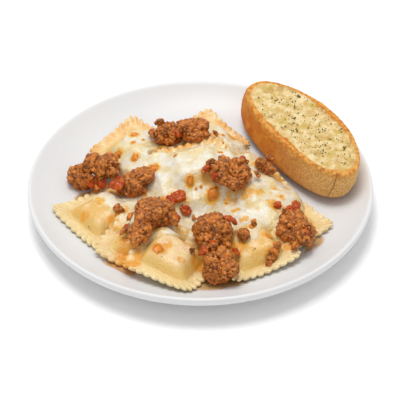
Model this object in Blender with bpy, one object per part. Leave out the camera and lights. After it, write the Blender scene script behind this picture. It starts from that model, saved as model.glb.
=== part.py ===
"""Cheese-baked ravioli on a round plate: fluted square ravioli piled as they were served, a blanket of melted
cheese over the pile, lumps of minced meat on top, and a slice of garlic bread leaning on the plate's rim.

Metres, +Z up, the origin under the middle of the plate, on the surface that its foot stands on. The food is
laid from the plate upwards: each soft piece hangs over what lies below it like a sagging sheet.
"""
import math

import bpy
import numpy as np
from mathutils import Vector
from mathutils.bvhtree import BVHTree

GAP = 0.0004             # between two pieces that touch

# Plate: a shallow round plate without a flat rim, on a foot ring.
PLATE_RADIUS = 0.135
PLATE_HEIGHT = 0.0240
PLATE_FLOOR = 0.0060     # upper face of the flat middle
PLATE_WALL = 0.0046
FLAT_RADIUS = 0.085      # where the upper face starts to rise
FOOT_OUTER = 0.074
FOOT_INNER = 0.068
FOOT_RECESS = 0.0014     # height of the underside within the foot ring
PLATE_STEPS = 44

# Ravioli: two squares of dough sealed round a filling.
RAVIOLI_SIDE = 0.060
DOUGH_EDGE = 0.0030      # both sheets together, at the fluted edge
BORDER = 0.0085          # width of the sealed border
FILLING_RISE = 0.0105    # how far the filled middle stands above the border
SHOULDER_IN = 0.0130     # from the edge to the top of the filling's steep side
CROWN_IN = 0.0200        # from the edge to where the filling is nearly flat
FLUTES = 10              # on each side
FLUTE_DEPTH = 0.0016
RAVIOLI_SAG = 0.050      # radius to which a filled ravioli bends where nothing holds it up

# name, centre x and y, turn in degrees; in the order in which they were laid
RAVIOLI = (
    ("ravioli_left", -0.0755, -0.0285, -48),
    ("ravioli_under_left", -0.028, 0.012, 10),
    ("ravioli_under_right", 0.028, 0.019, 30),
    ("ravioli_back", 0.003, 0.067, 39),
    ("ravioli_back_left", -0.053, 0.054, 51),
    ("ravioli_right", 0.063, -0.036, 36),
    ("ravioli_lower_left", -0.042, -0.061, -27),
    ("ravioli_front", -0.020, -0.081, -28),
    ("ravioli_front_right", 0.037, -0.068, 27),
    ("ravioli_upper_right", 0.040, -0.002, 28),
    ("ravioli_top", -0.004, 0.013, 13),
)
HIDDEN = ("ravioli_under_left", "ravioli_under_right")   # with a plain edge

# Cheese: one melted sheet over the middle of the pile.
CHEESE = 0.0018          # thickness
CHEESE_SAG = 0.018
CHEESE_MIDDLE = (-0.008, 0.008)
# rings of the sheet: share of the outline's reach from the middle, number of points
CHEESE_RINGS = ((1.0, 56), (0.92, 56), (0.81, 56), (0.67, 28), (0.52, 28), (0.36, 28), (0.18, 14))
# its melted outline in millimetres, against the clock from the right
CHEESE_OUTLINE_MM = (
    (67, 8), (62, 18), (55, 29), (47, 43), (39, 55), (33, 68), (26, 80), (18, 87), (8, 83), (-1, 72),
    (-14, 64), (-30, 68), (-44, 80), (-55, 73), (-66, 63), (-76, 48), (-70, 33), (-69, 20), (-72, 9),
    (-80, -1), (-87, -12), (-88, -24), (-75, -36), (-62, -43), (-69, -56), (-76, -73), (-67, -79),
    (-56, -78), (-47, -74), (-35, -83), (-22, -76), (-11, -61), (-1, -62), (10, -68), (23, -71),
    (35, -68), (46, -62), (57, -51), (68, -39), (77, -28), (77, -7),
)

# Meat: name, centre x and y, turn in degrees, length, width and height of each lump
MEAT = (
    ("meat_left", -0.095, 0.012, 10, 0.020, 0.019, 0.016),
    ("meat_left_back", -0.077, 0.022, 20, 0.022, 0.020, 0.014),
    ("meat_upper_left", -0.051, -0.002, 15, 0.028, 0.023, 0.014),
    ("meat_middle_left", -0.035, -0.048, 20, 0.031, 0.030, 0.015),
    ("meat_lower_left", -0.045, -0.073, 70, 0.022, 0.018, 0.008),
    ("meat_middle", 0.010, -0.064, -20, 0.028, 0.027, 0.016),
    ("meat_front", 0.014, -0.097, -25, 0.028, 0.024, 0.016),
    ("meat_top", 0.024, -0.009, 10, 0.030, 0.028, 0.012),
    ("meat_back_left", -0.026, 0.057, 80, 0.022, 0.018, 0.012),
    ("meat_back", -0.005, 0.056, 8, 0.027, 0.025, 0.012),
    ("meat_right", 0.071, -0.057, 110, 0.032, 0.024, 0.013),
    ("meat_upper_right", 0.051, 0.005, -40, 0.016, 0.011, 0.007),
)
MEAT_SAG = 0.008
MEAT_POINTS = 10

# Garlic bread: a slice cut slantwise from a loaf, tipped up a little by the plate's rim.
BREAD_CENTRE = (0.0841, 0.0491)
BREAD_TURN = 120
BREAD_LENGTH = 0.1420
BREAD_WIDTH = 0.0544
BREAD_THICKNESS = 0.0255
BREAD_BEND = 0.0040      # how far the ends of its oval bow to one side
BREAD_SLANT = (-0.005, 0.0)   # from the upper face to the lower one
BREAD_TIP = 0.1032       # slope of its faces
BREAD_TIP_TOWARDS = 27   # the way in which they rise
BREAD_POINTS = 32
# the crust's profile: share of the oval, height as a share of the thickness
BREAD_CRUST = ((1.03, 0.45), (1.015, 0.9), (0.985, 1.0), (0.93, 0.985))
BREAD_FOOT = 0.91

CELL = 0.0010            # spacing of the height map that the pieces are laid on
MAP_REACH = 0.141
AXIS = np.arange(-MAP_REACH, MAP_REACH + CELL / 2, CELL)


# ---------------------------------------------------------------- height map of what has been laid so far

def height_of(field, x, y):
    """Height of the map at any place, straight-line between its points."""
    last = len(AXIS) - 1.001
    u = np.clip((np.asarray(x) + MAP_REACH) / CELL, 0, last)
    v = np.clip((np.asarray(y) + MAP_REACH) / CELL, 0, last)
    i, j = u.astype(int), v.astype(int)
    a, b = u - i, v - j
    near = field[i, j] * (1 - a) + field[i + 1, j] * a
    far = field[i, j + 1] * (1 - a) + field[i + 1, j + 1] * a
    return near * (1 - b) + far * b


def widened(field):
    """Each point takes the highest value of itself and its eight neighbours."""
    for axis in (0, 1):
        field = np.maximum.reduce([field, np.roll(field, 1, axis), np.roll(field, -1, axis)])
    return field


def smoothed(field):
    """Each point moves to the weighted mean of itself and its neighbours."""
    for axis in (0, 1):
        field = (np.roll(field, 1, axis) + 2 * field + np.roll(field, -1, axis)) / 4
    return field


def swept(field, radius):
    """The upper side of the map with an upside-down bowl of this radius set on each of its points."""
    drop = (AXIS[:, None] - AXIS[None, :]) ** 2 / (2 * radius)
    field = (field[None, :, :] - drop[:, :, None]).max(axis=1)
    return (field[:, None, :] - drop[None, :, :]).max(axis=2)


def sheet_over(pile, sag, ease=25):
    """The lowest surface over the pile that hangs between its high spots with this radius, its bends eased."""
    held = widened(pile)
    sheet = -swept(-swept(held, sag), sag)
    for _ in range(ease):
        sheet = np.maximum(smoothed(sheet), held)
    return sheet + GAP


def add_to_pile(pile, points, faces):
    """Raises the map to the upper side of a finished piece."""
    tree = BVHTree.FromPolygons([Vector(p) for p in points], faces)
    low, high = points.min(axis=0), points.max(axis=0)
    down = Vector((0, 0, -1))
    for i in np.flatnonzero((AXIS >= low[0]) & (AXIS <= high[0])):
        for j in np.flatnonzero((AXIS >= low[1]) & (AXIS <= high[1])):
            hit = tree.ray_cast(Vector((AXIS[i], AXIS[j], 1)), down)[0]
            if hit is not None:
                pile[i, j] = max(pile[i, j], hit.z)


def lifted_clear(points, faces, pile):
    """Lifts the corners of the underside's facets just enough that no facet dips into what lies below."""
    steps = 12
    share = np.array([(i, j, steps - i - j) for i in range(steps + 1) for j in range(steps + 1 - i)]) / steps
    corners = np.array(faces)
    held = widened(pile) + GAP
    floor = height_of(held, points[corners, 0] @ share.T, points[corners, 1] @ share.T)
    for _ in range(60):
        lack = floor - points[corners, 2] @ share.T
        worst = lack.argmax(axis=1)
        short = np.maximum(lack[np.arange(len(corners)), worst], 0)
        weight = share[worst]
        lift = short[:, None] * weight / (weight ** 2).sum(axis=1, keepdims=True)
        raised = np.zeros(len(points))
        np.maximum.at(raised, corners.ravel(), lift.ravel())
        points[:, 2] += raised
        if raised.max() < 1e-6:
            break
    return points


# ---------------------------------------------------------------- meshes made of rings, one within the other

def stitched(outer, inner):
    """Triangles between two rings of point numbers; the outer one has as many points as the inner, or twice."""
    n, faces = len(inner), []
    for i in range(n):
        j = (i + 1) % n
        if len(outer) == n:
            faces += [(outer[i], outer[j], inner[j]), (outer[i], inner[j], inner[i])]
        else:
            a, b, c = outer[2 * i], outer[2 * i + 1], outer[2 * j]
            faces += [(a, b, inner[i]), (b, inner[j], inner[i]), (b, c, inner[j])]
    return faces


def numbered(rings, start):
    """Point numbers of the rings, and the number after the last one."""
    found = []
    for ring in rings:
        found.append(list(range(start, start + len(ring))))
        start += len(ring)
    return found, start


def closed_from_rings(top, bottom):
    """Points and triangles of a solid, and the triangles of its underside. The upper side and the underside
    are rings from the rim inwards to a single middle point; the two rims have the same number of points."""
    above, end = numbered(top, 0)
    below, _ = numbered(bottom, end)
    upper, under = [], []
    for found, faces in ((above, upper), (below, under)):
        for outer, inner in zip(found[:-2], found[1:-1]):
            faces += stitched(outer, inner)
        ring, middle = found[-2], found[-1][0]
        faces += [(ring[i], ring[(i + 1) % len(ring)], middle) for i in range(len(ring))]
    side = stitched(below[0], above[0])
    under = [face[::-1] for face in under]
    return np.concatenate(top + bottom), upper + side + under, under


def placed(ring, x, y, degrees):
    """The ring turned and moved to its place on the plate."""
    turn = math.radians(degrees)
    c, s = math.cos(turn), math.sin(turn)
    return np.stack([x + ring[:, 0] * c - ring[:, 1] * s, y + ring[:, 0] * s + ring[:, 1] * c], axis=1)


def draped(ring, sheet, height):
    """Points over a ring of places, at this height above the sheet."""
    return np.column_stack([ring, height_of(sheet, ring[:, 0], ring[:, 1]) + height])


def add_object(name, points, faces, material):
    mesh = bpy.data.meshes.new(name)
    mesh.from_pydata([tuple(p) for p in points], [], faces)
    mesh.materials.append(material)
    mesh.shade_smooth()
    mesh.set_sharp_from_angle(angle=math.radians(40))
    made = bpy.data.objects.new(name, mesh)
    bpy.context.scene.collection.objects.link(made)


def finish(name, colour, roughness):
    material = bpy.data.materials.new(name)
    material.use_nodes = True
    shader = material.node_tree.nodes["Principled BSDF"]
    shader.inputs["Base Color"].default_value = (*colour, 1)
    shader.inputs["Roughness"].default_value = roughness
    shader.inputs["Metallic"].default_value = 0
    return material


# ---------------------------------------------------------------- plate

def plate_top(radius):
    """Height of the plate's upper face: flat, then a parabola up to the lip."""
    rise = np.clip((radius - FLAT_RADIUS) / (PLATE_RADIUS - FLAT_RADIUS), 0, None)
    return PLATE_FLOOR + (PLATE_HEIGHT - PLATE_FLOOR) * rise ** 2


def plate_profile():
    """(radius, height) from the middle of the upper face, over the lip, to the middle of the underside."""
    lip = PLATE_WALL / 2
    lip_radius = PLATE_RADIUS - lip
    lip_height = PLATE_HEIGHT - lip
    top = [(r, float(plate_top(r))) for r in np.linspace(FLAT_RADIUS, lip_radius, 5)]
    rim = [(lip_radius + lip * math.cos(a), lip_height + lip * math.sin(a)) for a in np.radians((55, 0, -60))]
    under_radii = np.linspace(lip_radius - 0.004, FOOT_OUTER + 0.003, 3)
    under = [(r, float(plate_top(r)) - PLATE_WALL) for r in under_radii]
    foot = [(FOOT_OUTER, 0), (FOOT_INNER, 0), (FOOT_INNER - 0.001, FOOT_RECESS), (0, FOOT_RECESS)]
    return [(0, PLATE_FLOOR)] + top + rim + under + foot


def lay_plate(pile):
    profile = plate_profile()
    mesh = bpy.data.meshes.new("plate")
    mesh.from_pydata([(r, 0, z) for r, z in profile], [(i, i + 1) for i in range(len(profile) - 1)], [])
    mesh.materials.append(finish("white glaze", (0.86, 0.86, 0.85), 0.18))
    plate = bpy.data.objects.new("plate", mesh)
    bpy.context.scene.collection.objects.link(plate)
    turn = plate.modifiers.new("turned", "SCREW")
    turn.axis = "Z"
    turn.steps = turn.render_steps = PLATE_STEPS
    turn.use_merge_vertices = True
    turn.merge_threshold = 0.0001
    turn.use_smooth_shade = True
    turned = plate.evaluated_get(bpy.context.evaluated_depsgraph_get()).to_mesh()
    add_to_pile(pile, np.array([v.co for v in turned.vertices]), [tuple(p.vertices) for p in turned.polygons])


# ---------------------------------------------------------------- ravioli

def square_ring(inset, count, roundness, depth=0.0):
    """Local (x, y) of a ring this far inside the ravioli's edge: a square with rounded corners (a superellipse
    of this power), fluted to this depth."""
    each = count // 4
    along = (np.arange(count) % each) / each * 2 - 1
    side = np.arange(count) // each * math.pi / 2
    reach = (RAVIOLI_SIDE / 2 - inset) / (1 + np.abs(along) ** roundness) ** (1 / roundness)
    reach = reach * (1 - depth / RAVIOLI_SIDE * (1 + np.cos(math.pi * FLUTES * (along + 1))))
    x, y = reach, reach * along
    return np.stack([x * np.cos(side) - y * np.sin(side), x * np.sin(side) + y * np.cos(side)], axis=1)


def lay_ravioli(name, x, y, turn, pile, dough):
    sheet = sheet_over(pile, RAVIOLI_SAG)
    if name in HIDDEN:
        rim = square_ring(0, 4 * FLUTES, 9)
    else:
        rim = square_ring(0, 8 * FLUTES, 9, FLUTE_DEPTH)
    seal = square_ring(BORDER, 4 * FLUTES, 6)
    shoulder = square_ring(SHOULDER_IN, 2 * FLUTES, 5)
    crown = square_ring(CROWN_IN, 2 * FLUTES, 4)
    full = DOUGH_EDGE + FILLING_RISE
    levels = [(rim, DOUGH_EDGE), (seal, DOUGH_EDGE), (shoulder, full * 0.82), (crown, full * 0.97)]
    top = [draped(placed(ring, x, y, turn), sheet, height) for ring, height in levels]
    bottom = [draped(placed(ring, x, y, turn), sheet, 0) for ring in (rim, seal, crown)]
    middle = draped(np.array([[x, y]]), sheet, 0)
    points, faces, under = closed_from_rings(top + [middle + (0, 0, full)], bottom + [middle])
    points = lifted_clear(points, under, pile)
    border = len(rim) + len(seal)
    first_under = sum(len(ring) for ring in top) + 1
    points[:border, 2] = points[first_under:first_under + border, 2] + DOUGH_EDGE
    add_object(name, points, faces, dough)
    add_to_pile(pile, points, faces)


# ---------------------------------------------------------------- cheese

def closed_curve(corners, count):
    """Points spread along a smooth closed curve through the corners (Catmull-Rom)."""
    corners = np.array(corners)
    n = len(corners)
    at = np.arange(count) * n / count
    i = at.astype(int)
    t = (at - i)[:, None]
    a, b, c, d = (corners[(i + k) % n] for k in (-1, 0, 1, 2))
    return (2 * b + (c - a) * t + (2 * a - 5 * b + 4 * c - d) * t ** 2 + (3 * b - a - 3 * c + d) * t ** 3) / 2


def lay_cheese(pile, look):
    sheet = sheet_over(pile, CHEESE_SAG)
    middle = np.array(CHEESE_MIDDLE)
    outline = closed_curve(np.array(CHEESE_OUTLINE_MM) / 1000, CHEESE_RINGS[0][1])
    rings = []
    for share, count in CHEESE_RINGS:
        rings.append(middle + (outline[::len(outline) // count] - middle) * share)
    rings.append(middle[None, :])
    bottom = [draped(ring, sheet, 0) for ring in rings]
    points, faces, under = closed_from_rings(bottom, bottom)
    points = lifted_clear(points, under, pile)
    half = len(points) // 2
    points[:half, 2] = points[half:, 2] + CHEESE
    add_object("cheese", points, faces, look)
    add_to_pile(pile, points, faces)


# ---------------------------------------------------------------- meat

def lump_ring(length, width, seed):
    """Local (x, y) of an uneven oval."""
    angle = np.arange(MEAT_POINTS) * 2 * math.pi / MEAT_POINTS
    uneven = 1 + 0.07 * np.sin(2 * angle + seed) + 0.08 * np.sin(3 * angle + 2.3 * seed)
    return np.stack([length / 2 * np.cos(angle), width / 2 * np.sin(angle)], axis=1) * uneven[:, None]


def lay_meat(number, pile, look):
    """A lump with a steep side, widest at a third of its height, and an uneven flattened top."""
    name, x, y, turn, length, width, height = MEAT[number]
    sheet = sheet_over(pile, MEAT_SAG)
    ring = lump_ring(length, width, number)
    middle = draped(np.array([[x, y]]), sheet, 0)
    levels = [(ring, 0.35), (ring * 0.88, 0.75), (ring * 0.62, 0.93), (ring[::2] * 0.3, 1.02)]
    top = [draped(placed(at, x, y, turn), sheet, height * level) for at, level in levels]
    bottom = [draped(placed(at, x, y, turn), sheet, 0) for at in (ring * 0.84, ring[::2] * 0.4)]
    points, faces, under = closed_from_rings(top + [middle + (0, 0, height)], bottom + [middle])
    points = lifted_clear(points, under, pile)
    first_under = sum(len(at) for at in top) + 1
    rim_under = points[first_under:first_under + MEAT_POINTS, 2]
    points[:MEAT_POINTS, 2] = np.maximum(points[:MEAT_POINTS, 2], rim_under + 0.2 * height)
    add_object(name, points, faces, look)
    add_to_pile(pile, points, faces)


# ---------------------------------------------------------------- garlic bread

def lay_bread(pile, look):
    """Rests on whatever is highest under it; its faces are parallel planes."""
    towards = math.radians(BREAD_TIP_TOWARDS)
    tip = BREAD_TIP * np.array([math.cos(towards), math.sin(towards)])

    def ring(share, level, count=BREAD_POINTS):
        angle = np.arange(count) * 2 * math.pi / count
        along, across = np.cos(angle) * share, np.sin(angle) * share
        oval = np.stack([along * BREAD_LENGTH / 2, across * BREAD_WIDTH / 2 + BREAD_BEND * along ** 2], axis=1)
        flat = placed(oval, *BREAD_CENTRE, BREAD_TURN) + np.array(BREAD_SLANT) * (1 - level)
        return np.column_stack([flat, flat @ tip + BREAD_THICKNESS * level])

    half = BREAD_POINTS // 2
    top = [ring(share, level) for share, level in BREAD_CRUST] + [ring(0.5, 1.0, half), ring(0, 1.0, 1)]
    bottom = [ring(BREAD_FOOT, 0), ring(0.5, 0, half), ring(0, 0, 1)]
    points, faces, _ = closed_from_rings(top, bottom)
    sole = np.concatenate([ring(share, 0, 120) for share in np.linspace(0, BREAD_FOOT, 24)])
    held = height_of(widened(pile), sole[:, 0], sole[:, 1])
    points[:, 2] += (held - sole[:, 2]).max() + GAP
    add_object("garlic_bread", points, faces, look)
    add_to_pile(pile, points, faces)


def main():
    for old in list(bpy.data.objects):
        bpy.data.objects.remove(old, do_unlink=True)
    pile = np.zeros((len(AXIS), len(AXIS)))
    lay_plate(pile)
    dough = finish("egg dough", (0.85, 0.66, 0.33), 0.45)
    for name, x, y, turn in RAVIOLI:
        lay_ravioli(name, x, y, turn, pile, dough)
    lay_cheese(pile, finish("melted cheese", (0.90, 0.84, 0.70), 0.35))
    lay_bread(pile, finish("toasted bread", (0.72, 0.42, 0.16), 0.7))
    browned = finish("browned meat", (0.28, 0.11, 0.05), 0.5)
    for number in range(len(MEAT)):
        lay_meat(number, pile, browned)


main()
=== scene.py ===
"""Looks of a plated meal: fluted square ravioli under melted cheese, with lumps of meat sauce and garlic bread.

Metres, +Z up. Every piece is a closed surface computed over the whole of a grid, at its place on the plate.
"""
import math

import bpy
import numpy as np
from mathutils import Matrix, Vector


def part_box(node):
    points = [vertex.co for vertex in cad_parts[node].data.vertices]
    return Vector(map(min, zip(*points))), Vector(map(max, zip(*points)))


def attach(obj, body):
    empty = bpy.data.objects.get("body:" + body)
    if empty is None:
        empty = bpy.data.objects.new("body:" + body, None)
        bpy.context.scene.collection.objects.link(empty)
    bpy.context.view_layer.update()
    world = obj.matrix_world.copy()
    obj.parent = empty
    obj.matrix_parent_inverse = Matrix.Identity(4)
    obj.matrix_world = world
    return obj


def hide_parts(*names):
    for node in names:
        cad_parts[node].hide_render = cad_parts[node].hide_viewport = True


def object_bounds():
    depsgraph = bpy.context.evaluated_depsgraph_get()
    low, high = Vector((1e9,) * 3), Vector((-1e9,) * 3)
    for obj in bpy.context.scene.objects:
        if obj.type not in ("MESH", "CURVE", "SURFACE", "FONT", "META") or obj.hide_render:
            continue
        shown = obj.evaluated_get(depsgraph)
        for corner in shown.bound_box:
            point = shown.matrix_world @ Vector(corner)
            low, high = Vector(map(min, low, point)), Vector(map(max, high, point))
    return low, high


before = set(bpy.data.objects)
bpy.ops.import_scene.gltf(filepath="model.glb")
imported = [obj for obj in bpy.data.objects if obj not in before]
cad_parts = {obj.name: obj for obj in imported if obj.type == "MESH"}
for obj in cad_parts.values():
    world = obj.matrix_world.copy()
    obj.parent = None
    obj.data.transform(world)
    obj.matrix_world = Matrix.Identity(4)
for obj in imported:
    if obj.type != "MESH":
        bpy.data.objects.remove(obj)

cad_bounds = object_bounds()


# ---------------------------------------------------------------- plate
# A coupe dinner plate of white porcelain, pressed in one piece with its foot ring and dipped in clear glaze.
# Its upper face is flat in the middle and curves up to a rounded lip; the food lies on it.

PLATE_RADIUS = 0.135
PLATE_RISE = 0.0202
PLATE_FLOOR = 0.0060
FLAT_RADIUS = 0.085
FOOT_OUTER = 0.074
FOOT_INNER = 0.068
FOOT_RECESS = 0.0014
# (radius, height) over the lip and down its outer wall, in millimetres
LIP_MM = ((131.2, 22.8), (132.4, 23.5), (133.5, 23.7), (134.3, 23.3), (134.8, 22.4), (134.99, 21.2),
          (134.7, 19.4), (133.9, 17.7), (132.5, 16.2))


def smooth_curve(corners, count, closed=False):
    """Points spread along a smooth curve through the corners: between two corners a cubic whose slope at each is
    half the step from the corner before to the corner after."""
    corners = np.asarray(corners, float)
    n = len(corners)
    at = np.linspace(0, n if closed else n - 1, count, endpoint=not closed)
    i = np.minimum(at.astype(int), n - 1 if closed else n - 2)
    t = (at - i)[:, None]
    pick = (lambda k: corners[(i + k) % n]) if closed else (lambda k: corners[np.clip(i + k, 0, n - 1)])
    a, b, c, d = pick(-1), pick(0), pick(1), pick(2)
    return b + t * (c - a) / 2 + t ** 2 * (2 * a - 5 * b + 4 * c - d) / 2 + t ** 3 * (3 * b - a - 3 * c + d) / 2


def plate_top(radius):
    """Height of the upper face: flat, then rising with a power of the distance."""
    rise = np.clip((radius - FLAT_RADIUS) / (PLATE_RADIUS - FLAT_RADIUS), 0, None)
    return PLATE_FLOOR + PLATE_RISE * rise ** 2.3


def plate_under(radius):
    """Height of the underside, from just outside the foot to the lip's outer wall."""
    return 0.0012 + 0.0150 * np.clip((radius - 0.078) / 0.0545, 0, None) ** 2.2


def closed_surface(rings):
    """Points and faces of a closed body from rings of points, top to bottom; the first and last ring are poles."""
    rows, count = rings.shape[:2]
    points = np.concatenate([rings[0, :1], rings[1:-1].reshape(-1, 3), rings[-1, :1]])
    ring = np.arange(count)
    after = (ring + 1) % count
    first = 1 + count * np.arange(rows - 3)[:, None]
    quads = np.stack([first + ring, first + count + ring, first + count + after, first + after], axis=-1)
    top = np.stack([0 * ring, 1 + ring, 1 + after], axis=-1)
    last = 1 + count * (rows - 3)
    bottom = np.stack([0 * ring + len(points) - 1, last + after, last + ring], axis=-1)
    return points, quads.reshape(-1, 4), np.concatenate([top, bottom])


def ring_values(values):
    """A value for each point of the rings, as closed_surface numbers them."""
    return np.concatenate([values[0, :1], values[1:-1].ravel(), values[-1, :1]])


def add_piece(name, points, quads, tris, material, values={}):
    """A smooth-shaded mesh that rides on the plate; values are numbers for each point that the material reads."""
    mesh = bpy.data.meshes.new(name)
    corners = np.concatenate([quads.ravel(), tris.ravel()])
    sizes = np.concatenate([np.full(len(quads), 4), np.full(len(tris), 3)])
    mesh.vertices.add(len(points))
    mesh.loops.add(len(corners))
    mesh.polygons.add(len(sizes))
    mesh.vertices.foreach_set("co", points.ravel().astype(np.float32))
    mesh.loops.foreach_set("vertex_index", corners.astype(np.int32))
    mesh.polygons.foreach_set("loop_start", (np.cumsum(sizes) - sizes).astype(np.int32))
    mesh.update(calc_edges=True)
    mesh.shade_smooth()
    for key, value in values.items():
        mesh.attributes.new(key, "FLOAT", "POINT").data.foreach_set("value", value.astype(np.float32))
    mesh.materials.append(material)
    piece = bpy.data.objects.new(name, mesh)
    bpy.context.scene.collection.objects.link(piece)
    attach(piece, "root")
    return piece


class Look:
    """A Principled material, and the few kinds of node that feed it."""

    def __init__(self, name, roughness, **sockets):
        self.material = bpy.data.materials.new(name)
        self.material.use_nodes = True
        self.nodes = self.material.node_tree.nodes
        self.shader = self.nodes["Principled BSDF"]
        self.shader.inputs["Roughness"].default_value = roughness
        for socket, value in sockets.items():
            self.shader.inputs[socket.replace("_", " ")].default_value = value

    def link(self, value, socket):
        """Feeds a socket from another one, or sets it to a fixed value."""
        if isinstance(value, bpy.types.NodeSocket):
            self.material.node_tree.links.new(value, socket)
        else:
            socket.default_value = (*value, 1) if isinstance(value, tuple) and len(value) == 3 else value

    def attribute(self, name):
        node = self.nodes.new("ShaderNodeAttribute")
        node.attribute_name = name
        return node.outputs["Fac"]

    def noise(self, size, detail=2.0, stretch=(1, 1, 1)):
        """Cloudy values about 0.5 whose patches are about this wide."""
        place = self.nodes.new("ShaderNodeTexCoord").outputs["Object"]
        if stretch != (1, 1, 1):
            mapping = self.nodes.new("ShaderNodeMapping")
            mapping.inputs["Scale"].default_value = stretch
            self.link(place, mapping.inputs["Vector"])
            place = mapping.outputs["Vector"]
        node = self.nodes.new("ShaderNodeTexNoise")
        node.inputs["Scale"].default_value = 1 / size
        node.inputs["Detail"].default_value = detail
        self.link(place, node.inputs["Vector"])
        return node.outputs["Fac"]

    def between(self, value, low, high, top=1.0):
        """0 below low, rising smoothly to top at high."""
        node = self.nodes.new("ShaderNodeMapRange")
        node.interpolation_type = "SMOOTHSTEP"
        node.inputs["From Min"].default_value = low
        node.inputs["From Max"].default_value = high
        node.inputs["To Max"].default_value = top
        self.link(value, node.inputs["Value"])
        return node.outputs["Result"]

    def math(self, operation, a, b):
        node = self.nodes.new("ShaderNodeMath")
        node.operation = operation
        self.link(a, node.inputs[0])
        self.link(b, node.inputs[1])
        return node.outputs["Value"]

    def mix(self, share, first, second):
        """The first colour where the share is 0, the second where it is 1."""
        node = self.nodes.new("ShaderNodeMix")
        node.data_type = "RGBA"
        self.link(share, node.inputs["Factor"])
        self.link(first, node.inputs[6])
        self.link(second, node.inputs[7])
        return node.outputs[2]

    def bump(self, height, distance, strength=1.0):
        """Adds fine relief of this height, in metres, below any added before."""
        node = self.nodes.new("ShaderNodeBump")
        node.inputs["Strength"].default_value = strength
        node.inputs["Distance"].default_value = distance
        self.link(height, node.inputs["Height"])
        before = self.shader.inputs["Normal"].links
        if before:
            self.link(before[0].from_socket, node.inputs["Normal"])
        self.link(node.outputs["Normal"], self.shader.inputs["Normal"])


radii = np.linspace(0, 0.1308, 90)
lip = smooth_curve(np.array(LIP_MM) / 1000, 40)
under_radii = np.linspace(0.1318, FOOT_OUTER + 0.0045, 50)
foot = np.array([(FOOT_OUTER + 0.0012, 0.0008), (FOOT_OUTER, 0.0001), (FOOT_OUTER - 0.0008, 0), (0.071, 0),
                 (FOOT_INNER + 0.0006, 0), (FOOT_INNER, 0.0003), (FOOT_INNER - 0.0008, FOOT_RECESS),
                 (0.03, FOOT_RECESS), (0, FOOT_RECESS)])
profile = np.concatenate([np.stack([radii, plate_top(radii)], axis=1), lip,
                          np.stack([under_radii, plate_under(under_radii)], axis=1), foot])
angle = np.linspace(0, 2 * math.pi, 256, endpoint=False)
rings = np.stack([profile[:, :1] * np.cos(angle), profile[:, :1] * np.sin(angle),
                  np.broadcast_to(profile[:, 1:], (len(profile), 256))], axis=-1)
glaze = Look("white glaze", 0.38, Specular_IOR_Level=0.36)
glaze.link((0.73, 0.73, 0.73), glaze.shader.inputs["Base Color"])
plate = add_piece("plate_body", *closed_surface(rings), glaze.material)
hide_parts("plate")


# ---------------------------------------------------------------- juice
# Thin brown and orange cooking juice that has run out from under the ravioli onto the plate, a film
# less than half a millimetre deep with an uneven edge.

# centre x and y, half length and half width in millimetres, turn in degrees, how orange
POOLS = (
    (12, -102, 27, 10, 4, 0.3), (-59, -83, 20, 8, -38, 1.0), (85, -60, 12, 7, 40, 0.2),
    (-92, -4, 11, 7, 60, 0.5), (-83, 40, 9, 5, 45, 0.3),
)
JUICE_DEPTH = 0.00035


def lattice_noise(points, size, seed):
    """Smooth values from -1 to 1 that change over this distance: a random lattice, eased between its points."""
    lattice = np.random.default_rng(seed).uniform(-1, 1, (24, 24, 24))
    at = np.asarray(points) / size + 100
    low = np.floor(at).astype(int)
    t = at - low
    t = t * t * (3 - 2 * t)
    value = 0
    for corner in np.ndindex(2, 2, 2):
        weight = np.prod(np.where(np.array(corner) == 1, t, 1 - t), axis=-1)
        x, y, z = np.moveaxis((low + corner) % 24, -1, 0)
        value = value + weight * lattice[x, y, z]
    return value


def plan_noise(x, y, size, seed):
    x, y = np.broadcast_arrays(x, y)
    return lattice_noise(np.stack([x, y, 0 * x], axis=-1), size, seed)


def turned(x, y, degrees):
    c, s = math.cos(math.radians(degrees)), math.sin(math.radians(degrees))
    return x * c - y * s, x * s + y * c


def joined(bodies):
    """One mesh's points, faces and values from those of several closed bodies."""
    starts = np.cumsum([0] + [len(body[0]) for body in bodies[:-1]])
    points = np.concatenate([body[0] for body in bodies])
    quads = np.concatenate([body[1] + start for body, start in zip(bodies, starts)])
    tris = np.concatenate([body[2] + start for body, start in zip(bodies, starts)])
    values = {key: np.concatenate([body[3][key] for body in bodies]) for key in bodies[0][3]}
    return points, quads, tris, values


bodies = []
for number, (x, y, length, width, turn, orange) in enumerate(POOLS):
    angle = np.linspace(0, 2 * math.pi, 120, endpoint=False)
    share = np.sin(np.linspace(0, math.pi / 2, 24))[:, None]
    edge = 1 + 0.25 * plan_noise(np.cos(angle), np.sin(angle), 0.5, 40 + number)
    px, py = turned(length / 1000 * share * edge * np.cos(angle), width / 1000 * share * edge * np.sin(angle), turn)
    px, py = px + x / 1000, py + y / 1000
    base = plate_top(np.hypot(px, py)) + 0.00002
    top = np.stack([px, py, base + JUICE_DEPTH * np.sqrt(1 - share ** 4 * 0.999)], axis=-1)
    bottom = np.stack([px, py, base], axis=-1)[::-1][1::4]
    bottom = np.concatenate([bottom, np.stack([px, py, base], axis=-1)[:1]])
    rings = np.concatenate([top, bottom])
    fade = np.concatenate([np.broadcast_to(share, px.shape), np.broadcast_to(share, px.shape)[::-1][1::4],
                           np.zeros((1, 120))])
    points, quads, tris = closed_surface(rings)
    bodies.append((points, quads, tris, {"edge": ring_values(fade), "orange": np.full(len(points), orange)}))
points, quads, tris, values = joined(bodies)
juice = Look("cooking juice", 0.12)
tint = juice.mix(juice.attribute("orange"), (0.72, 0.44, 0.13), (0.74, 0.33, 0.03))
juice.link(tint, juice.shader.inputs["Base Color"])
patchy = juice.math("MULTIPLY", juice.between(juice.noise(0.010, 3), -0.15, 0.5), juice.between(juice.attribute("edge"), 1.0, 0.55))
juice.link(juice.math("MULTIPLY", patchy, 0.42), juice.shader.inputs["Alpha"])
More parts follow.
